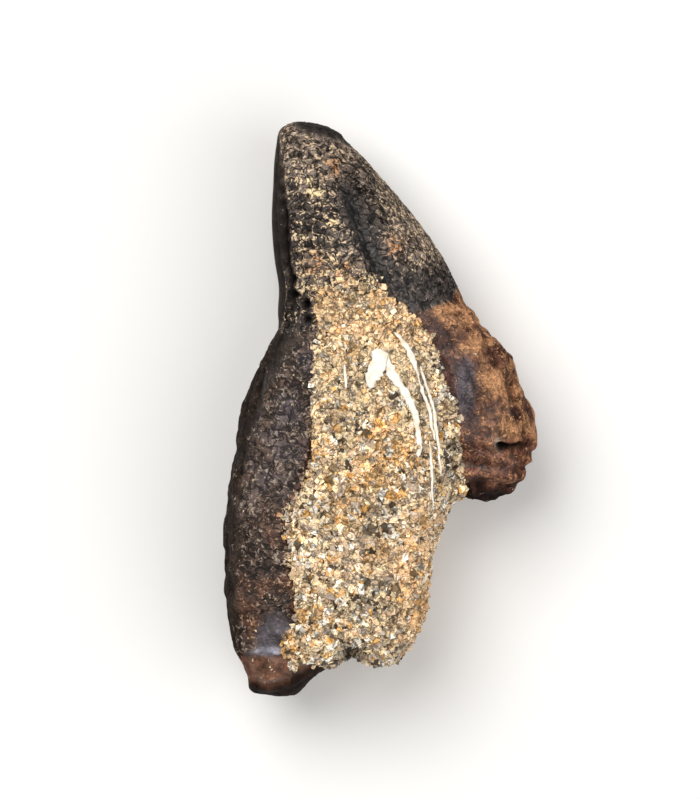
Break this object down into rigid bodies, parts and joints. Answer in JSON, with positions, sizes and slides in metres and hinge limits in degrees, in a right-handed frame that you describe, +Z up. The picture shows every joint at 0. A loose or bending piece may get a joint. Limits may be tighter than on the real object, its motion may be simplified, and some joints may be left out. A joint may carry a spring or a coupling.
{
  "type": "fossil ceratopsian tooth",
  "caption": "Fossil tooth lying on its side: a keeled conical crown on two splayed roots, with coarse sandstone filling the fork between them.",
  "frame": {"origin": "on the surface that the tooth lies on, under the middle of its outline", "axes": "+Y from the root tips to the apex of the crown, +X from the long root to the short root, +Z up from the surface"},
  "size_m": [0.022, 0.04, 0.015],
  "materials": {
    "fossil_tooth": "satin",
    "sandstone": "matte"
  },
  "bodies": {
    "root": {"tooth": "fossil_tooth", "sandstone": "sandstone"}
  },
  "joints": []
}
